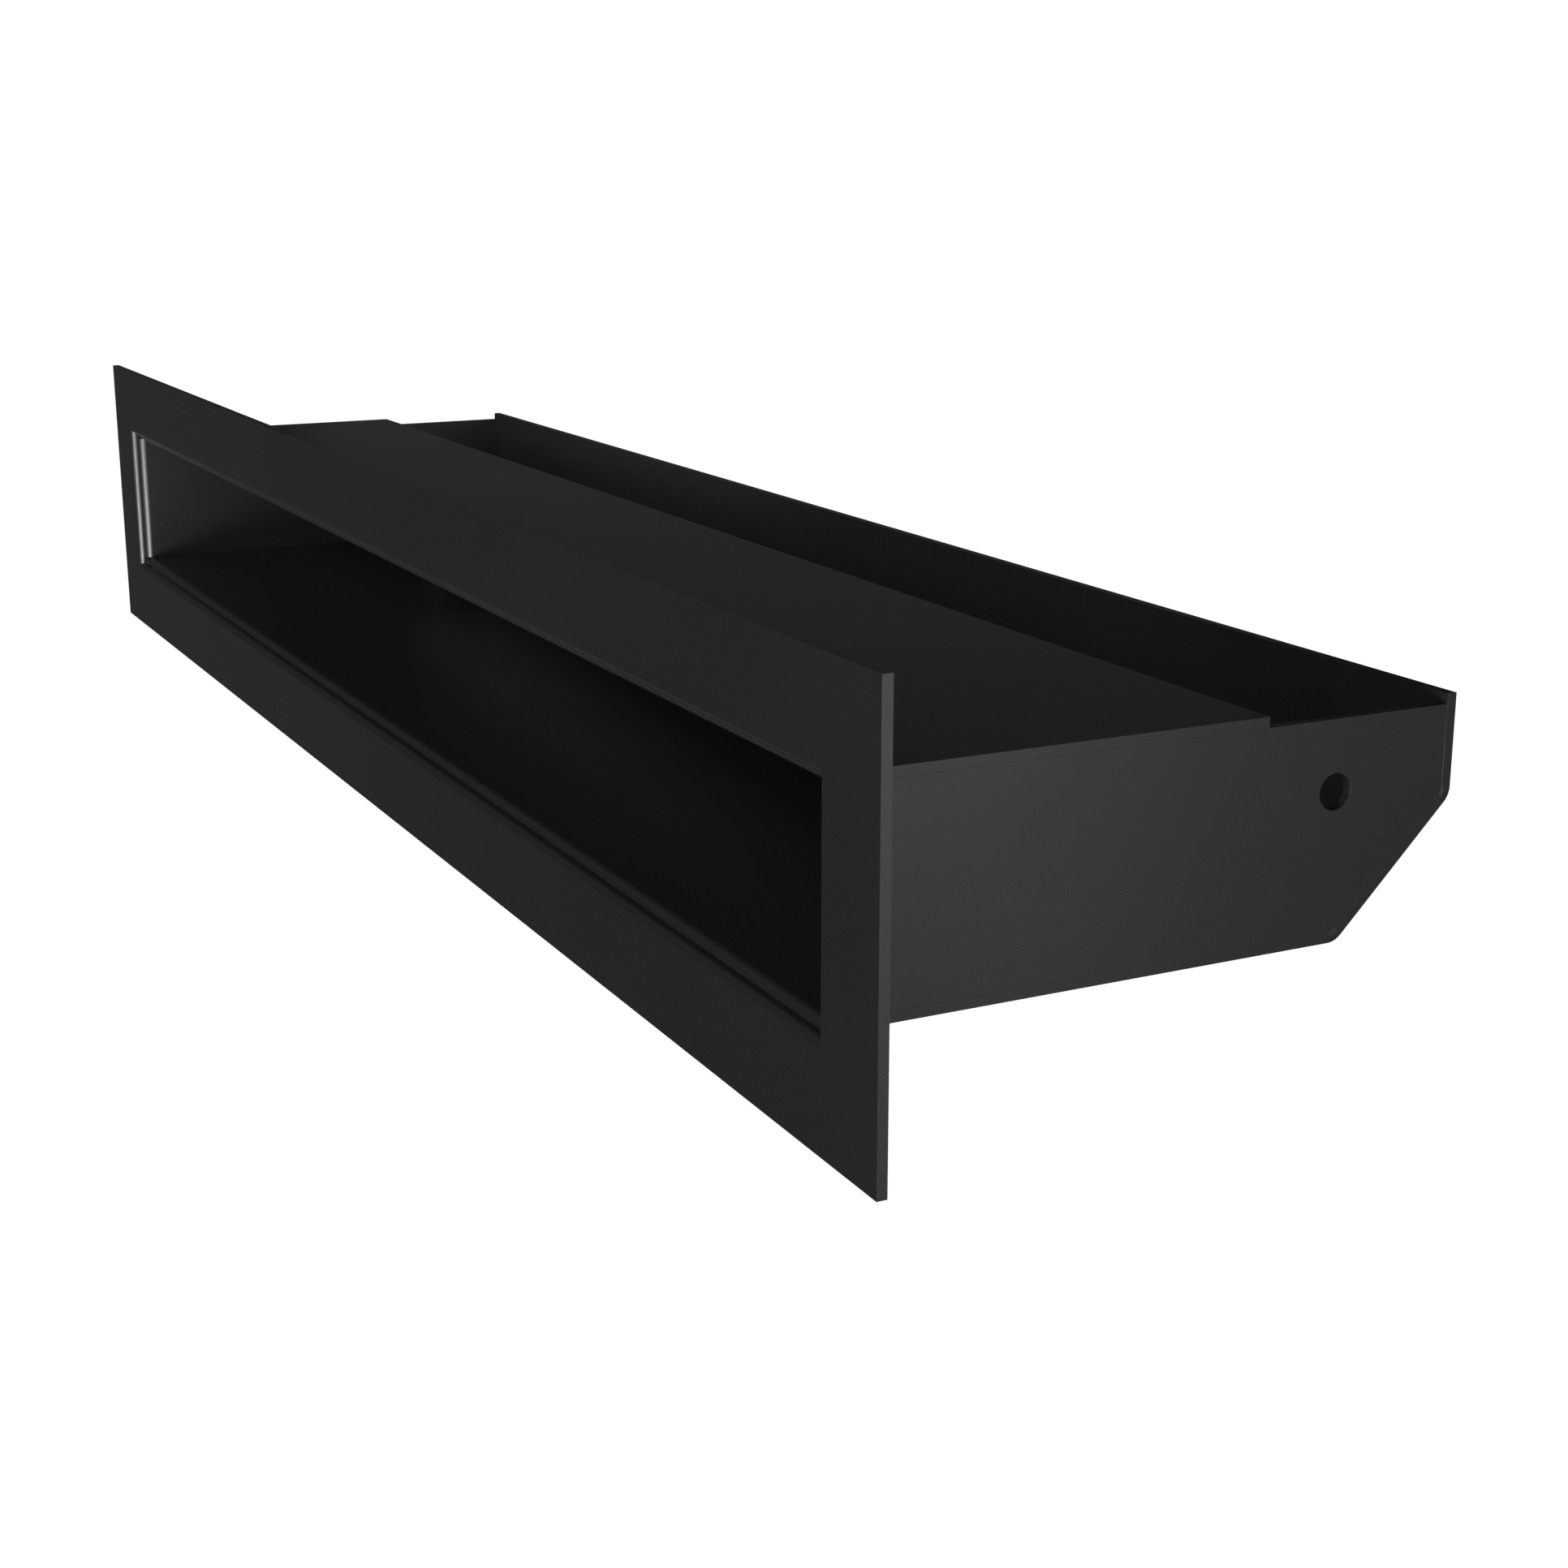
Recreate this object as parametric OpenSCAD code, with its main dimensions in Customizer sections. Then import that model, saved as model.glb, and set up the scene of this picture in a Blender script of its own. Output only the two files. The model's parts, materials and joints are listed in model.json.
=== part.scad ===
// Slot-shaped warm-air vent for a fireplace hood, made of folded and welded sheet steel.
// A flat front plate with a long slot sits on the wall. Behind it a shallow box leads the
// air forward: the rear top is open, and a 45 degree fold turns the air towards the slot.
// Origin: middle of the slot, on the back face of the front plate (the face of the wall).
// +X is to the right seen from the front, +Y goes into the wall, +Z is up. Millimetres.

/* [Front plate] */
// Width of the front plate
plate_w = 404; // [250:1:1000]
// Height of the front plate
plate_h = 64; // [52:1:140]
// Thickness of the front plate
plate_t = 1.5; // [1:0.1:3]
// Rim of the front plate that stays visible around the box
plate_rim = 15.5; // [12.5:0.5:25]
// Rounding of the slot's front edge, never more than the plate's thickness
slot_edge_r = 1.5; // [0.2:0.1:3]

/* [Box] */
// Thickness of the box's sheet
sheet_t = 1.5; // [1:0.1:2.5]
// Depth of the box, from the wall's face to the outside of its rear wall
box_depth = 96.7; // [75:0.1:200]
// Opening in the top, from the roof's rear edge to the inside of the rear wall
inlet_depth = 30; // [15:0.5:45]
// Height and depth that the 45 degree fold takes off the lower rear corner
deflector_leg = 18.5; // [8:0.5:24]
// Inside radius of the folds beside the deflector
trough_fold_r = 1.65; // [0.5:0.05:3]

/* [Joint to the plate] */
// Width of the flanges that lie on the back of the plate, outside the box
flange_w = 10; // [6:0.5:11]
// Inside radius of the flange folds
flange_fold_r = 0.3; // [0.1:0.1:1]
// Leg length of the weld beads
weld_leg = 2.5; // [1:0.1:3]
// Length of each weld bead
weld_length = 15; // [6:1:20]

/* [Side holes] */
// Diameter of the round hole in each cheek
side_hole_d = 5.2; // [3:0.1:8]
// From the outside of the rear wall to the hole's centre
side_hole_inset = 20; // [14:0.5:40]
// From the top of the box down to the hole's centre
side_hole_drop = 11.6; // [8:0.1:16]

/* [Hidden] */

$fn = 96;
cut_over = 1;                   // how far a cutting shape runs past the face that it cuts
draft_scale = 20;               // folded sheets are drawn this many times smaller

// Outside and inside of the box. The slot has the size of the box's outside.
box_w = plate_w - 2 * plate_rim;
box_h = plate_h - 2 * plate_rim;
box_top = box_h / 2;
duct_half_w = box_w / 2 - sheet_t;
duct_half_h = box_h / 2 - sheet_t;
roof_depth = box_depth - sheet_t - inlet_depth;

// A fold of 45 degrees takes this length off each straight run on the outside.
fold_turn = 45;
outer_setback = (trough_fold_r + sheet_t) * tan(fold_turn / 2);

// The inner faces of the floor, the deflector and the rear wall meet at these corners.
inner_shift = sheet_t * tan(fold_turn / 2);
floor_corner = [box_depth - deflector_leg - inner_shift, -duct_half_h];
rear_corner = [box_depth - sheet_t, deflector_leg + inner_shift - box_top];

// Straight lengths of the folded sheets, between their bends.
flange_run = flange_w - flange_fold_r;
flange_fold_end = sheet_t + flange_fold_r;
floor_run = box_depth - deflector_leg - outer_setback - flange_fold_end;
deflector_run = deflector_leg * sqrt(2) - 2 * outer_setback;
rear_wall_run = box_h - deflector_leg - outer_setback;

plate_colour = [0.035, 0.035, 0.037];
box_colour = [0.03, 0.03, 0.032];

// ---------------------------------------------------------------------------------------
// Flat drawing helpers

// A point in the direction of an angle, on a square of half side `reach` around the origin.
function on_square(reach, angle) =
    reach * [cos(angle), sin(angle)] / max(abs(cos(angle)), abs(sin(angle)));

// A slice of a disc between two angles at most 120 degrees apart.
module sector(radius, from, to) {
    reach = radius * 3;
    intersection() {
        circle(r = radius);
        polygon([[0, 0], on_square(reach, from), on_square(reach, (from + to) / 2), on_square(reach, to)]);
    }
}

// One bend of a sheet: a slice of a ring.
module bend(inner_r, thickness, from, to) {
    difference() {
        sector(inner_r + thickness, from, to);
        circle(r = inner_r);
    }
}

// The edge view of a folded sheet, run by run. It starts along +X with its thickness towards +Y.
module folded_runs(runs, bends, thickness, i = 0) {
    square([runs[i], thickness]);
    if (i < len(bends)) {
        angle = bends[i][0];
        inner_r = bends[i][1];
        outer_r = inner_r + thickness;
        if (angle > 0) {
            translate([runs[i], outer_r]) {
                bend(inner_r, thickness, -90, angle - 90);
                rotate(angle) translate([0, -outer_r]) folded_runs(runs, bends, thickness, i + 1);
            }
        } else {
            translate([runs[i], -inner_r]) {
                bend(inner_r, thickness, 90, 90 + angle);
                rotate(angle) translate([0, inner_r]) folded_runs(runs, bends, thickness, i + 1);
            }
        }
    }
}

// A folded sheet from its straight runs and the bends between them, each [angle, inside radius]
// and positive to the left. It is drawn small and enlarged, so that rounding errors where runs
// and bends meet stay far below any tolerance and close up.
module folded_sheet(runs, bends) {
    scale(draft_scale) union() {
        folded_runs(
            runs / draft_scale,
            [for (b = bends) [b[0], b[1] / draft_scale]],
            sheet_t / draft_scale
        );
    }
}

// Turns a drawing of the side view (its x is depth, its y is height) into a solid that is
// `width` wide and centred on the middle of the vent.
module across(width) {
    rotate([90, 0, 90]) translate([0, 0, -width / 2]) linear_extrude(width) children();
}

// ---------------------------------------------------------------------------------------
// Front plate

// The slot's section over one of its two spans: straight at the back of the plate and
// opening in a quarter round to the front.
module slot_section(span) {
    edge_r = min(slot_edge_r, plate_t);
    half = span / 2;
    translate([-half, -plate_t - cut_over]) square([span, plate_t + 2 * cut_over]);
    difference() {
        translate([-half - edge_r, -plate_t - cut_over]) square([span + 2 * edge_r, edge_r + cut_over]);
        for (side = [-1, 1]) {
            translate([side * (half + edge_r), edge_r - plate_t]) circle(r = edge_r);
        }
    }
}

module front_frame() {
    color(plate_colour) difference() {
        translate([-plate_w / 2, -plate_t, -plate_h / 2]) cube([plate_w, plate_t, plate_h]);
        intersection() {
            translate([0, 0, -plate_h / 2]) linear_extrude(plate_h) slot_section(box_w);
            across(plate_w) rotate(90) mirror([0, 1]) slot_section(box_h);
        }
    }
}

// ---------------------------------------------------------------------------------------
// Folded box

// The roof lies on the cheeks, and its front flange turns up behind the plate.
module roof_panel() {
    color(box_colour) across(box_w) {
        translate([0, box_top + flange_w]) rotate(-90) {
            folded_sheet([flange_run, roof_depth - flange_fold_end], [[90, flange_fold_r]]);
        }
    }
}

// The trough seen from the side: front flange, floor, deflector and rear wall in one sheet.
module trough_section() {
    translate([sheet_t, -box_top - flange_w]) rotate(90) {
        folded_sheet(
            [flange_run, floor_run, deflector_run, rear_wall_run],
            [[-90, flange_fold_r], [fold_turn, trough_fold_r], [fold_turn, trough_fold_r]]
        );
    }
}

module rear_trough() {
    color(box_colour) across(box_w) trough_section();
}

// A cheek seen from the side. It fills the space between the roof and the trough, so it is
// drawn into the thickness of the trough and cut back by the trough's own section.
module cheek_outline() {
    into_sheet = sheet_t / 2;
    slope_x = floor_corner[0] + into_sheet * sqrt(2);
    rear_y = rear_corner[0] + into_sheet;
    difference() {
        polygon([
            [0, -duct_half_h],
            [slope_x, -duct_half_h],
            [rear_y, rear_y - slope_x - duct_half_h],
            [rear_y, duct_half_h],
            [0, duct_half_h]
        ]);
        trough_section();
    }
}

// A cheek seen from above, on the right: the flange lies behind the plate and turns outwards.
module cheek_plan() {
    translate([box_w / 2 + flange_w, 0]) mirror([1, 0]) {
        folded_sheet([flange_run, box_depth - flange_fold_end], [[90, flange_fold_r]]);
    }
}

// The flange alone is as tall as the box, so that it closes the slot's corners from behind.
module right_cheek() {
    color(box_colour) difference() {
        union() {
            intersection() {
                across(plate_w) cheek_outline();
                translate([0, 0, -box_top]) linear_extrude(box_h) cheek_plan();
            }
            translate([box_w / 2 + flange_fold_r, 0, -box_top]) cube([flange_run, sheet_t, box_h]);
        }
        translate([0, box_depth - side_hole_inset, box_top - side_hole_drop]) {
            rotate([0, 90, 0]) cylinder(h = plate_w, d = side_hole_d);
        }
    }
}

module left_cheek() {
    mirror([1, 0, 0]) right_cheek();
}

// ---------------------------------------------------------------------------------------
// Welds in the inside corners

// A rounded bead along +Y whose two flat sides face -Z (down) and +X (right).
module weld_bead() {
    barrel = weld_length - 2 * weld_leg;
    intersection() {
        union() {
            rotate([90, 0, 0]) cylinder(h = barrel, r = weld_leg, center = true);
            for (end = [-1, 1]) {
                translate([0, end * barrel / 2, 0]) sphere(r = weld_leg);
            }
        }
        translate([-weld_leg, -weld_length / 2, 0]) cube([weld_leg, weld_length, weld_leg]);
    }
}

module on_both_sides() {
    children();
    mirror([1, 0, 0]) children();
}

// Two beads along each seam between the roof and a cheek.
module roof_welds() {
    first = flange_fold_end + weld_length;
    last = roof_depth - weld_length;
    color(box_colour) on_both_sides() {
        for (y = [first, last]) {
            translate([duct_half_w, y, duct_half_h]) mirror([0, 0, 1]) weld_bead();
        }
    }
}

// A bead along the floor and one up the deflector, on each side.
module trough_welds() {
    floor_bead_y = floor_corner[0] - weld_leg - weld_length / 2;
    slope_middle = (floor_corner + rear_corner) / 2;
    color(box_colour) on_both_sides() {
        translate([duct_half_w, floor_bead_y, -duct_half_h]) weld_bead();
        translate([duct_half_w, slope_middle[0], slope_middle[1]]) rotate([fold_turn, 0, 0]) weld_bead();
    }
}

front_frame();
roof_panel();
rear_trough();
left_cheek();
right_cheek();
roof_welds();
trough_welds();
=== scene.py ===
import json
import math

import bmesh
import bpy
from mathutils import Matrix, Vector


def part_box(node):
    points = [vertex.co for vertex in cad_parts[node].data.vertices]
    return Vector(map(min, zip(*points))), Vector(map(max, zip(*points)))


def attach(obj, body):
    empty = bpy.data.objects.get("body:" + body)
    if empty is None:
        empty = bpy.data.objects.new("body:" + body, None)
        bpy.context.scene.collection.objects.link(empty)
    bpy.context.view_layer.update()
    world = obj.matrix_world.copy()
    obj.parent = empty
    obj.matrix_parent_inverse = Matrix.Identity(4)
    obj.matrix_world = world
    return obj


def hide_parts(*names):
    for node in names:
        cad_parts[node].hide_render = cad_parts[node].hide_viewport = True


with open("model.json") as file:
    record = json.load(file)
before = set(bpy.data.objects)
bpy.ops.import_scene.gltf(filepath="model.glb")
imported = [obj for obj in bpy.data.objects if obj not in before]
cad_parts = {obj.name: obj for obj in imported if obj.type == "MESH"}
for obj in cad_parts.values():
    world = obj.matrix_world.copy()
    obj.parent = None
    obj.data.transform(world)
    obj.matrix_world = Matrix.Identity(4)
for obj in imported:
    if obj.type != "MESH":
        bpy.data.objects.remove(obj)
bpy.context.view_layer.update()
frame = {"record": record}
scene = bpy.context.scene

# ---------------------------------------------------------------------------------------
# Sizes, read from the CAD nodes

MM = 0.001

plate_low, plate_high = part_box("front_frame")
roof_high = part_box("roof_panel")[1]
trough_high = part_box("rear_trough")[1]
cheek_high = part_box("right_cheek")[1]
roof_weld_low, roof_weld_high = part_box("roof_welds")
trough_weld_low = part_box("trough_welds")[0]

plate_t = plate_high.y - plate_low.y
box_half_w, box_half_h, box_depth = trough_high.x, trough_high.z, trough_high.y
duct_half_h = roof_weld_high.z
sheet_t = box_half_h - duct_half_h
duct_half_w = box_half_w - sheet_t
roof_depth = roof_high.y
flange_w = cheek_high.x - box_half_w
weld_leg = duct_half_h - roof_weld_low.z

mounts = {m["name"]: m for m in frame["record"]["mounts"]}
hole_y, hole_z = mounts["side_hole_right"]["pos_m"][1:]
hole_r = mounts["side_hole_right"]["dims"]["r_mm"] * MM

# What the boxes of the nodes don't tell: the folds, as in the CAD source.
SLOT_EDGE_R = 1.5 * MM
FLANGE_FOLD_R = 0.3 * MM
TROUGH_FOLD_R = 1.65 * MM
TROUGH_TURN = 45
DEFLECTOR_LEG = 18.5 * MM
WELD_LENGTH = 15 * MM

# Finer than the CAD meshes.
FOLD_STEP = 6                   # degrees of a fold between two rows of points
HOLE_POINTS = 64
EDGE_R = 0.02 * MM              # softening of a cut edge under its coat
EDGE_SEGMENTS = 3
HARD_ANGLE = 40                 # degrees between two faces that share a cut edge
HAIR = 1e-7                     # a length that counts as nothing
WELD_ROWS = 90
WELD_ARC_STEPS = 10
WELD_RIPPLE_PITCH = 1.3 * MM
WELD_RIPPLE = 0.05              # share of the bead's radius by which the ripples rise and fall
WELD_RIPPLE_TRAIL = 0.5         # share of the leg by which they trail at the toes

# The coat. Tones are shares of its own tone, and glosses are added to its roughness.
BLACK = 0.01
ROUGHNESS = 0.3
CLOUD_SIZE = 60 * MM
CLOUD_TONE = 0.06
CLOUD_GLOSS = 0.01
GRAIN_SIZE = 0.25 * MM
GRAIN_TONE = 0.1
GRAIN_GLOSS = 0.03
GRAIN_DEPTH = 0.0006 * MM
PEEL_SIZE = 1.1 * MM
PEEL_DEPTH = 0.003 * MM
SPATTER_SIZE = 0.5 * MM
SPATTER_DEPTH = 0.02 * MM
THIN_COAT_REACH = 0.3 * MM      # how far from a cut edge the coat is thinner
THIN_COAT_GLOW = 0.2            # share by which it is paler there
THIN_COAT_GLOSS = 0.02          # how much smoother it is there
FLAT_DOT = 0.98                 # cosine of the turn up to which a surface counts as flat
EDGE_DOT = 0.75                 # and from which on it counts as an edge
NOISE_LOW, NOISE_HIGH = 0.3, 0.7    # most of the noise lies between these

SENSOR = 36
LENS = 55.8
CLIP_NEAR, CLIP_FAR = 0.01, 50
CAMERA_PLACE = (0.43344, -0.13046, 0.09107)
CAMERA_AZIMUTH, CAMERA_ELEVATION = 63.24, 15.17

STUDIO_R = 8.0
STUDIO_SIDES = 64
FLOOR_RINGS = 4
DOME_STEPS = 16
STUDIO_GLOW = 1.02              # just over white, so that floor and backdrop are plain white
SOFTBOX_DISTANCE = 1.5
WORLD_GLOW = 0.01

# ---------------------------------------------------------------------------------------
# Mesh helpers


def folded_sheet(start, heading, runs, bends, thickness):
    """Walks along the edge view of a folded sheet and returns its stations, each a pair of points
    on the right-hand and left-hand face. A bend is (degrees, inside radius), positive to the
    left."""
    point, heading = Vector(start), math.radians(heading)
    stations = []

    def direction(angle):
        return Vector((math.cos(angle), math.sin(angle)))

    def mark():
        stations.append((point.copy(), point + thickness * direction(heading + math.pi / 2)))

    mark()
    for run, bend in zip(runs, bends + [None]):
        point += run * direction(heading)
        mark()
        if bend:
            turn, inner_r = bend
            radius = inner_r + (thickness if turn > 0 else 0)
            steps = math.ceil(abs(turn) / FOLD_STEP)
            step = math.radians(turn) / steps
            for _ in range(steps):
                point += 2 * radius * math.sin(abs(step) / 2) * direction(heading + step / 2)
                heading += step
                mark()
    return stations


def sweep(bm, stations, low, high, place, closed=True):
    """Sweeps a folded sheet's stations sideways from low to high. place(u, v, w) puts a point
    where it belongs. Returns the first and the last row of points, each with the right and left
    face at low and then the left and right face at high."""
    rows = []
    for right, left in stations:
        corners = ((right, low), (left, low), (left, high), (right, high))
        rows.append([bm.verts.new(place(p.x, p.y, w)) for p, w in corners])
    for row, following in zip(rows, rows[1:]):
        join_rows(bm, row, following)
    if closed:
        bm.faces.new(rows[0])
        bm.faces.new(rows[-1])
    return rows[0], rows[-1]


def join_rows(bm, row, following):
    """Closes the gap between two closed rows of as many points with four-sided faces."""
    for i in range(len(row)):
        j = (i + 1) % len(row)
        bm.faces.new((row[i], row[j], following[j], following[i]))


def mark_cut_edges(bm, kept_sharp=lambda edge: False):
    """Marks the edges that are softened, which are all that a fold or a mitre doesn't make."""
    weight = bm.edges.layers.float.new("bevel_weight_edge")
    bm.normal_update()
    for edge in bm.edges:
        if kept_sharp(edge):
            edge.smooth = False
        elif edge.calc_face_angle() > math.radians(HARD_ANGLE):
            edge[weight] = 1


def is_mitre(edge):
    """True for an edge that runs askew to all three axes, as where two quarter rounds meet."""
    along = edge.verts[1].co - edge.verts[0].co
    return min(abs(length) for length in along) > HAIR


def make_piece(name, bm, node, material):
    """Turns a bmesh into a piece with softened edges that stands for one CAD node."""
    bmesh.ops.recalc_face_normals(bm, faces=bm.faces)
    for face in bm.faces:
        face.smooth = True
    mesh = bpy.data.meshes.new(name)
    bm.to_mesh(mesh)
    bm.free()
    mesh.materials.append(material)
    piece = bpy.data.objects.new(name, mesh)
    scene.collection.objects.link(piece)

    soft = piece.modifiers.new("softened_edges", "BEVEL")
    soft.limit_method = "WEIGHT"
    soft.width = EDGE_R
    soft.segments = EDGE_SEGMENTS
    flat = piece.modifiers.new("flat_faces", "WEIGHTED_NORMAL")
    flat.keep_sharp = True

    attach(piece, "root")
    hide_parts(node)
    return piece


# ---------------------------------------------------------------------------------------
# Pieces


def front_plate(material):
    """A flat plate around a slot whose front edge is a quarter round, mitred at the corners."""
    edge_r = min(SLOT_EDGE_R, plate_t)
    rings = [
        (plate_high.x, plate_high.z, -plate_t),
        (plate_high.x, plate_high.z, 0),
        (box_half_w, box_half_h, 0),
    ]
    if edge_r < plate_t:
        rings.append((box_half_w, box_half_h, edge_r - plate_t))
    steps = 90 // FOLD_STEP
    for i in range(0 if edge_r < plate_t else 1, steps + 1):
        turn = math.radians(90 * i / steps)
        grow, rise = edge_r * (1 - math.cos(turn)), edge_r * math.sin(turn)
        rings.append((box_half_w + grow, box_half_h + grow, edge_r - plate_t - rise))

    bm = bmesh.new()
    rows = []
    for x, z, y in rings:
        corners = ((-x, -z), (x, -z), (x, z), (-x, z))
        rows.append([bm.verts.new((u, y, v)) for u, v in corners])
    for row, following in zip(rows, rows[1:] + rows[:1]):
        join_rows(bm, row, following)

    mark_cut_edges(bm, kept_sharp=is_mitre)
    return make_piece("front_plate", bm, "front_frame", material)


def roof_stations():
    """The front flange comes down behind the plate, then the roof runs back."""
    runs = [flange_w - FLANGE_FOLD_R, roof_depth - sheet_t - FLANGE_FOLD_R]
    start = (0, box_half_h + flange_w)
    return folded_sheet(start, -90, runs, [(90, FLANGE_FOLD_R)], sheet_t)


def trough_stations():
    """The front flange goes up behind the plate, then floor, deflector and rear wall."""
    setback = (TROUGH_FOLD_R + sheet_t) * math.tan(math.radians(TROUGH_TURN / 2))
    runs = [
        flange_w - FLANGE_FOLD_R,
        box_depth - DEFLECTOR_LEG - setback - sheet_t - FLANGE_FOLD_R,
        DEFLECTOR_LEG * math.sqrt(2) - 2 * setback,
        2 * box_half_h - DEFLECTOR_LEG - setback,
    ]
    bends = [(-90, FLANGE_FOLD_R), (TROUGH_TURN, TROUGH_FOLD_R), (TROUGH_TURN, TROUGH_FOLD_R)]
    return folded_sheet((sheet_t, -box_half_h - flange_w), 90, runs, bends, sheet_t)


def sheet_across(name, stations, node, material):
    """A folded sheet that spans the whole width of the box."""
    bm = bmesh.new()
    sweep(bm, stations, -box_half_w, box_half_w, lambda y, z, x: (x, y, z))
    mark_cut_edges(bm)
    return make_piece(name, bm, node, material)


def cheek_outline(fold_end):
    """The cheek's edge seen from the side, from the end of the floor up the inside of the trough
    and forward under the roof as far as the hole."""
    inside = [left for _, left in trough_stations()]
    rear = [p for p in inside if p.x > fold_end + sheet_t and p.y < duct_half_h]
    return rear + [Vector((box_depth - sheet_t, duct_half_h)), Vector((hole_y, duct_half_h))]


def cheek_hole(bm, x):
    """A ring of points for the round hole, up the rear side first, and down the front side."""
    ring = []
    for i in range(HOLE_POINTS):
        turn = 2 * math.pi * i / HOLE_POINTS
        y, z = hole_y + hole_r * math.sin(turn), hole_z - hole_r * math.cos(turn)
        ring.append(bm.verts.new((x, y, z)))
    return ring


def cheek_flange(bm, side, fold_start):
    """The flange behind the plate. It is as tall as the box and steps down to the fold's
    height."""
    corners = (
        (0, -box_half_h), (sheet_t, -box_half_h),
        (sheet_t, box_half_h), (0, box_half_h),
    )
    free, step = [
        [bm.verts.new((side * x, y, z)) for y, z in corners]
        for x in (box_half_w + flange_w, box_half_w + FLANGE_FOLD_R)
    ]
    bm.faces.new(free)
    for i, j in ((0, 1), (2, 3)):
        bm.faces.new((free[i], free[j], step[j], step[i]))
        bm.faces.new((step[i], step[j], fold_start[j], fold_start[i]))
    for i, j in ((1, 2), (3, 0)):
        bm.faces.new((free[i], free[j], step[j], fold_start[j], fold_start[i], step[i]))


def cheek(side, name, node, material):
    """A side wall on side 1 (right) or -1 (left): a flange that turns outwards behind the plate,
    and a panel with a round hole that fits between the roof and the trough."""
    start = (-box_half_w - flange_w, 0)
    runs = [flange_w - FLANGE_FOLD_R, 0]
    stations = folded_sheet(start, 0, runs, [(90, FLANGE_FOLD_R)], sheet_t)[1:-1]
    bm = bmesh.new()
    fold_start, fold_end = sweep(
        bm, stations, -duct_half_h, duct_half_h, lambda u, y, z: (-side * u, y, z), closed=False
    )
    cheek_flange(bm, side, fold_start)
    inner_low, outer_low, outer_high, inner_high = fold_end
    points = cheek_outline(stations[-1][0].y)

    # Each face of the panel is divided in two through the hole.
    rims, holes = [], []
    sides = ((inner_low, inner_high, duct_half_w), (outer_low, outer_high, box_half_w))
    for low, high, x in sides:
        outline = [bm.verts.new((side * x, p.x, p.y)) for p in points]
        hole = cheek_hole(bm, side * x)
        rear_side = hole[:HOLE_POINTS // 2 + 1]
        front_side = [hole[0]] + hole[:HOLE_POINTS // 2 - 1:-1]
        bm.faces.new([low, outline[0]] + front_side + [outline[-1], high])
        bm.faces.new(outline + rear_side[::-1])
        rims.append([low] + outline + [high])
        holes.append(hole)
    inner, outer = rims
    for i in range(len(inner) - 1):
        bm.faces.new((inner[i], inner[i + 1], outer[i + 1], outer[i]))
    join_rows(bm, *holes)
    mark_cut_edges(bm)
    return make_piece(name, bm, node, material)


def weld_bead(bm, middle, along, wall_a, wall_b):
    """One rippled bead in the corner between two walls. wall_a and wall_b point away from the
    corner along the walls; the corner runs through middle in the direction of along."""
    rows = []
    for i in range(1, WELD_ROWS):
        share = 2 * i / WELD_ROWS - 1
        s = share * WELD_LENGTH / 2
        past_barrel = max(0, abs(s) - (WELD_LENGTH / 2 - weld_leg)) / weld_leg
        radius = weld_leg * math.sqrt(max(0, 1 - past_barrel ** 2))
        row = [bm.verts.new(middle + s * along)]
        for k in range(WELD_ARC_STEPS + 1):
            turn = math.pi / 2 * k / WELD_ARC_STEPS
            # The ripples are crescents: they trail at the two toes of the bead.
            trail = WELD_RIPPLE_TRAIL * weld_leg * math.cos(2 * turn) ** 2
            wave = math.cos(2 * math.pi * (s + trail) / WELD_RIPPLE_PITCH)
            reach = radius * (1 - WELD_RIPPLE + WELD_RIPPLE * wave * math.sin(2 * turn))
            point = math.cos(turn) * wall_a + math.sin(turn) * wall_b
            row.append(bm.verts.new(middle + s * along + reach * point))
        rows.append(row)
    for row, following in zip(rows, rows[1:]):
        join_rows(bm, row, following)
    bm.faces.new(rows[0])
    bm.faces.new(rows[-1])


def roof_weld_beads(material):
    """Two beads along each seam between the roof and a cheek."""
    bm = bmesh.new()
    for side in (-1, 1):
        for y in (roof_weld_low.y + WELD_LENGTH / 2, roof_weld_high.y - WELD_LENGTH / 2):
            middle = Vector((side * duct_half_w, y, duct_half_h))
            weld_bead(bm, middle, Vector((0, 1, 0)), Vector((-side, 0, 0)), Vector((0, 0, -1)))
    return make_piece("roof_weld_beads", bm, "roof_welds", material)


def trough_weld_beads(material):
    """On each side a bead along the floor, and one up the middle of the deflector."""
    turn = math.radians(TROUGH_TURN)
    # The inner faces of the floor, the deflector and the rear wall meet at these two corners.
    inner_shift = sheet_t * math.tan(turn / 2)
    floor_corner = Vector((box_depth - DEFLECTOR_LEG - inner_shift, -duct_half_h))
    rear_corner = Vector((box_depth - sheet_t, DEFLECTOR_LEG + inner_shift - box_half_h))
    slope_y, slope_z = (floor_corner + rear_corner) / 2
    bm = bmesh.new()
    for side in (-1, 1):
        inwards = Vector((-side, 0, 0))
        floor_y = trough_weld_low.y + WELD_LENGTH / 2
        weld_bead(
            bm, Vector((side * duct_half_w, floor_y, -duct_half_h)),
            Vector((0, 1, 0)), inwards, Vector((0, 0, 1)),
        )
        weld_bead(
            bm, Vector((side * duct_half_w, slope_y, slope_z)),
            Vector((0, math.cos(turn), math.sin(turn))), inwards,
            Vector((0, -math.sin(turn), math.cos(turn))),
        )
    return make_piece("trough_weld_beads", bm, "trough_welds", material)


# ---------------------------------------------------------------------------------------
# Materials


def add_node(tree, kind, **settings):
    """A new node with its inputs and properties set by name."""
    node = tree.nodes.new(kind)
    for name, value in settings.items():
        if name in node.inputs:
            node.inputs[name].default_value = value
        else:
            setattr(node, name, value)
    return node


def noise(tree, place, size, detail=2.0):
    """Smooth noise whose lumps are about `size` metres across."""
    node = add_node(tree, "ShaderNodeTexNoise", Scale=1 / size, Detail=detail)
    tree.links.new(place, node.inputs["Vector"])
    return node.outputs["Fac"]


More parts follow.
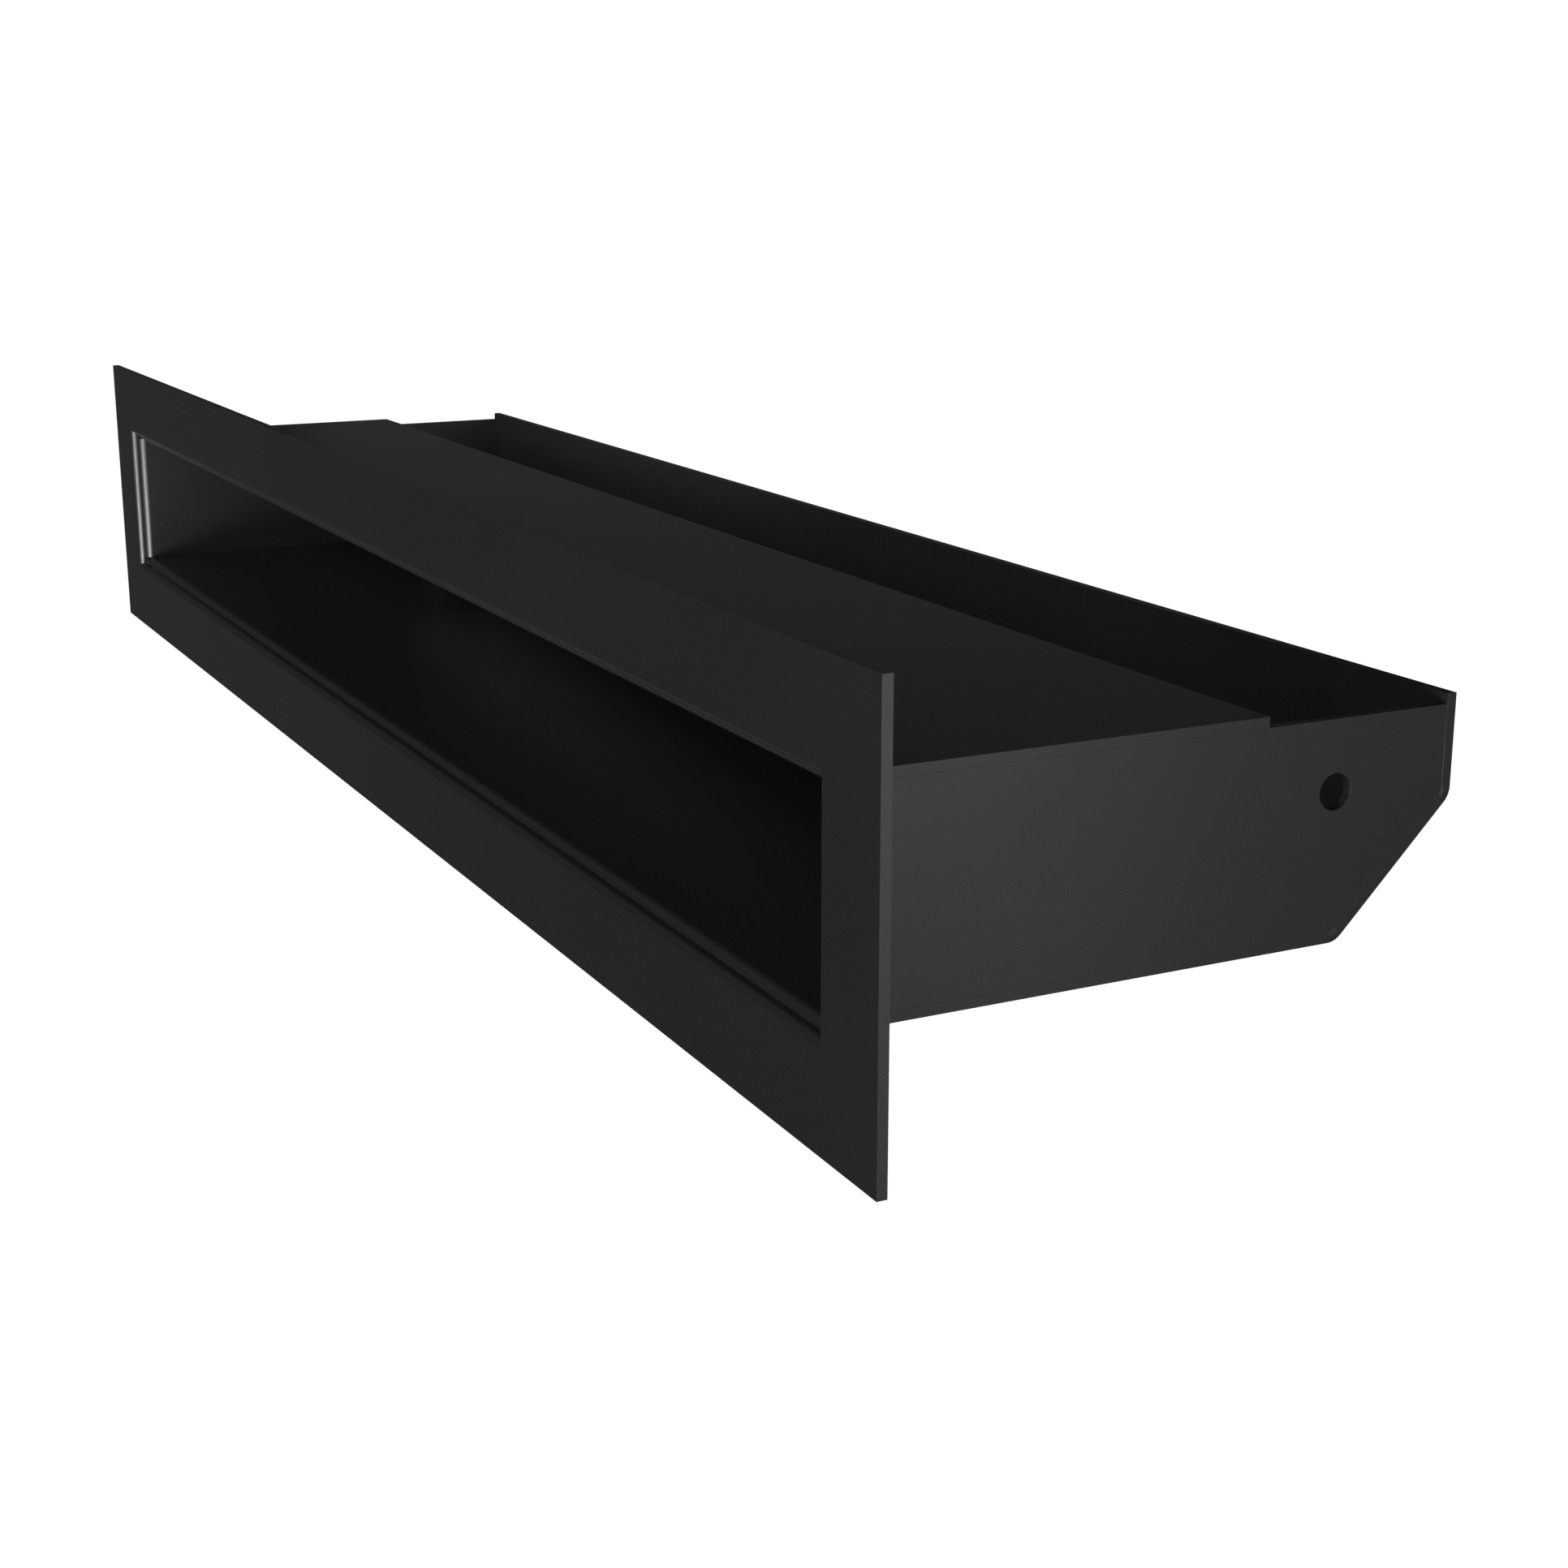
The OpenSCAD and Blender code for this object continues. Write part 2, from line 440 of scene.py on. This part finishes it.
def spread(tree, value, low, high, value_low=NOISE_LOW, value_high=NOISE_HIGH):
    """Stretches value_low to value_high, which is where most noise lies, over low to high."""
    node = add_node(tree, "ShaderNodeMapRange")
    limits = {"From Min": value_low, "From Max": value_high, "To Min": low, "To Max": high}
    for name, limit in limits.items():
        node.inputs[name].default_value = limit
    tree.links.new(value, node.inputs["Value"])
    return node.outputs["Result"]


def swing(tree, value, middle, reach):
    """The noise as a swing by `reach` to both sides of the middle."""
    return spread(tree, value, middle - reach, middle + reach)


def combine(tree, operation, first, second):
    """The result of one Math node. Each side is a socket or a number."""
    node = add_node(tree, "ShaderNodeMath", operation=operation)
    for socket, value in zip(node.inputs, (first, second)):
        if isinstance(value, (int, float)):
            socket.default_value = value
        else:
            tree.links.new(value, socket)
    return node.outputs["Value"]


def bump(tree, height, depth, normal=None):
    """Raises and lowers the surface by height, which is worth `depth` metres from 0 to 1."""
    node = add_node(tree, "ShaderNodeBump", Strength=1.0, Distance=depth)
    tree.links.new(height, node.inputs["Height"])
    if normal:
        tree.links.new(normal, node.inputs["Normal"])
    return node.outputs["Normal"]


def edge_share(tree):
    """1 on a cut edge and 0 on a flat face: how far rounding the edge would turn the surface."""
    rounded = add_node(tree, "ShaderNodeBevel", samples=4, Radius=THIN_COAT_REACH)
    surface = add_node(tree, "ShaderNodeNewGeometry")
    dot = add_node(tree, "ShaderNodeVectorMath", operation="DOT_PRODUCT")
    tree.links.new(rounded.outputs["Normal"], dot.inputs[0])
    tree.links.new(surface.outputs["Normal"], dot.inputs[1])
    return spread(tree, dot.outputs["Value"], 1, 0, value_low=EDGE_DOT, value_high=FLAT_DOT)


def coat_colour(tree, clouds, grains, edges):
    """Slow clouds where the powder lay thicker, fine grains, and paler cut edges."""
    noises = combine(
        tree, "MULTIPLY", swing(tree, clouds, 1, CLOUD_TONE), swing(tree, grains, 1, GRAIN_TONE)
    )
    thin_coat = spread(tree, edges, 1, 1 + THIN_COAT_GLOW, value_low=0, value_high=1)
    tone = combine(tree, "MULTIPLY", combine(tree, "MULTIPLY", noises, thin_coat), BLACK)
    colour = add_node(tree, "ShaderNodeCombineColor")
    for channel in ("Red", "Green", "Blue"):
        tree.links.new(tone, colour.inputs[channel])
    return colour.outputs["Color"]


def coat_roughness(tree, clouds, grains, edges):
    """A dry gloss that varies with grains and clouds and is smoother over cut edges."""
    noises = combine(
        tree, "ADD", swing(tree, grains, 0, GRAIN_GLOSS), swing(tree, clouds, 0, CLOUD_GLOSS)
    )
    thin_coat = combine(tree, "MULTIPLY", edges, THIN_COAT_GLOSS)
    return combine(tree, "ADD", combine(tree, "SUBTRACT", noises, thin_coat), ROUGHNESS)


def powder_coat(name, spatter=0.0):
    """Satin black powder coat with fine grains over faint orange peel. Over cut edges the coat is
    thinner. spatter is the depth of the lumps that it hides, in metres."""
    material = bpy.data.materials.new(name)
    material.use_nodes = True
    tree = material.node_tree
    link = tree.links.new
    shader = tree.nodes["Principled BSDF"]
    place = add_node(tree, "ShaderNodeTexCoord").outputs["Object"]
    clouds = noise(tree, place, CLOUD_SIZE)
    grains = noise(tree, place, GRAIN_SIZE, detail=4)
    edges = edge_share(tree)

    link(coat_colour(tree, clouds, grains, edges), shader.inputs["Base Color"])
    link(coat_roughness(tree, clouds, grains, edges), shader.inputs["Roughness"])

    normal = bump(tree, noise(tree, place, PEEL_SIZE), PEEL_DEPTH)
    normal = bump(tree, grains, GRAIN_DEPTH, normal)
    if spatter:
        normal = bump(tree, noise(tree, place, SPATTER_SIZE, detail=3), spatter, normal)
    link(normal, shader.inputs["Normal"])
    return material


# ---------------------------------------------------------------------------------------
# Studio and camera


def aim(thing, direction):
    """Points a camera or lamp along a direction, with its own up towards +Z."""
    thing.rotation_mode = "QUATERNION"
    thing.rotation_quaternion = Vector(direction).to_track_quat("-Z", "Y")


def view_direction(azimuth, elevation):
    """Azimuth 0 looks along +Y and 90 along -X. Elevation is how far it looks down."""
    a, e = math.radians(azimuth), math.radians(elevation)
    return Vector((-math.sin(a) * math.cos(e), math.cos(a) * math.cos(e), -math.sin(e)))


def make_camera():
    data = bpy.data.cameras.new("camera")
    data.sensor_width = SENSOR
    data.lens = LENS
    data.clip_start, data.clip_end = CLIP_NEAR, CLIP_FAR
    camera = bpy.data.objects.new("camera", data)
    camera.location = CAMERA_PLACE
    aim(camera, view_direction(CAMERA_AZIMUTH, CAMERA_ELEVATION))
    scene.collection.objects.link(camera)
    scene.camera = camera


def softbox(name, azimuth, elevation, width, height, glow):
    """A flat lamp that faces the vent's middle from that side and shines equally everywhere.
    Azimuth 0 is in front of the vent and 90 to its right; elevation is how far it stands above.
    glow is how bright its face looks, where 1 is plain white."""
    data = bpy.data.lights.new(name, "AREA")
    data.shape = "RECTANGLE"
    data.size, data.size_y = width, height
    data.energy = glow * math.pi * width * height
    lamp = bpy.data.objects.new(name, data)
    towards = view_direction(azimuth, elevation)
    lamp.location = -SOFTBOX_DISTANCE * towards
    aim(lamp, towards)
    lamp.visible_camera = False
    scene.collection.objects.link(lamp)


def studio_white():
    """Plain white that is see-through from behind, so that views from below aren't blocked."""
    material = bpy.data.materials.new("studio_white")
    material.use_nodes = True
    tree = material.node_tree
    tree.nodes.clear()
    front = add_node(tree, "ShaderNodeEmission", Color=(1, 1, 1, 1), Strength=STUDIO_GLOW)
    behind = add_node(tree, "ShaderNodeBsdfTransparent")
    mix = add_node(tree, "ShaderNodeMixShader")
    out = add_node(tree, "ShaderNodeOutputMaterial")
    facing = add_node(tree, "ShaderNodeNewGeometry")
    tree.links.new(facing.outputs["Backfacing"], mix.inputs["Fac"])
    tree.links.new(front.outputs["Emission"], mix.inputs[1])
    tree.links.new(behind.outputs["BSDF"], mix.inputs[2])
    tree.links.new(mix.outputs["Shader"], out.inputs["Surface"])
    return material


def make_sweep():
    """A pale floor under the vent that rises into a dome all round. Only the camera sees it:
    it stays clean and shadowless, and the softboxes alone light the vent."""
    bm = bmesh.new()
    profile = [(STUDIO_R * i / FLOOR_RINGS, 0) for i in range(1, FLOOR_RINGS)]
    for i in range(DOME_STEPS):
        turn = math.pi / 2 * i / DOME_STEPS
        profile.append((STUDIO_R * math.cos(turn), STUDIO_R * math.sin(turn)))
    rows = []
    for radius, height in profile:
        turns = [2 * math.pi * k / STUDIO_SIDES for k in range(STUDIO_SIDES)]
        ring = [(radius * math.cos(t), radius * math.sin(t), plate_low.z + height) for t in turns]
        rows.append([bm.verts.new(p) for p in ring])
    for row, following in zip(rows, rows[1:]):
        join_rows(bm, row, following)
    bm.faces.new(rows[0])
    bm.faces.new(rows[-1])
    bmesh.ops.recalc_face_normals(bm, faces=bm.faces)
    bmesh.ops.reverse_faces(bm, faces=bm.faces)
    mesh = bpy.data.meshes.new("studio_sweep")
    bm.to_mesh(mesh)
    bm.free()
    mesh.materials.append(studio_white())
    sweep_object = bpy.data.objects.new("studio_sweep", mesh)
    for kind in ("diffuse", "glossy", "transmission", "volume_scatter", "shadow"):
        setattr(sweep_object, "visible_" + kind, False)
    scene.collection.objects.link(sweep_object)


def make_light():
    """A strong low box at the right front draws the two lines of light at the slot's left end.
    The others, much dimmer, give each face its own even grey."""
    world = bpy.data.worlds.new("studio_world")
    world.use_nodes = True
    background = world.node_tree.nodes["Background"]
    background.inputs["Color"].default_value = (1, 1, 1, 1)
    background.inputs["Strength"].default_value = WORLD_GLOW
    scene.world = world
    softbox("key_low", 45.5, -15, 0.7, 0.35, 29)
    softbox("right_low", 83, -15, 1.2, 0.4, 7.0)
    softbox("front_right", 23, 0, 1.2, 0.8, 2.6)
    softbox("side", 98, 0, 1.2, 0.8, 1.6)
    softbox("front_right_high", 45.5, 30, 1.6, 0.8, 2.0)
    softbox("top", 0, 60, 0.8, 0.8, 2.0)
    softbox("under", 0, -70, 0.8, 0.8, 6.0)
    softbox("front_left", -22, 0, 1.2, 0.8, 0.12)
    softbox("front_left_high", -60, 30, 0.8, 0.8, 0.07)
    softbox("left", -90, -15, 0.8, 1.6, 0.06)
    softbox("rear_left", -120, 0, 0.8, 0.8, 0.07)
    softbox("rear", 170, 15, 1.2, 1.2, 2.5)


# ---------------------------------------------------------------------------------------

make_camera()
make_sweep()
make_light()

plate_coat = powder_coat("plate_powder_coat")
box_coat = powder_coat("box_powder_coat")
weld_coat = powder_coat("weld_powder_coat", spatter=SPATTER_DEPTH)

front_plate(plate_coat)
sheet_across("roof_sheet", roof_stations(), "roof_panel", box_coat)
sheet_across("trough_sheet", trough_stations(), "rear_trough", box_coat)
cheek(1, "right_cheek_sheet", "right_cheek", box_coat)
cheek(-1, "left_cheek_sheet", "left_cheek", box_coat)
roof_weld_beads(weld_coat)
trough_weld_beads(weld_coat)

scene.view_settings.view_transform = "Standard"
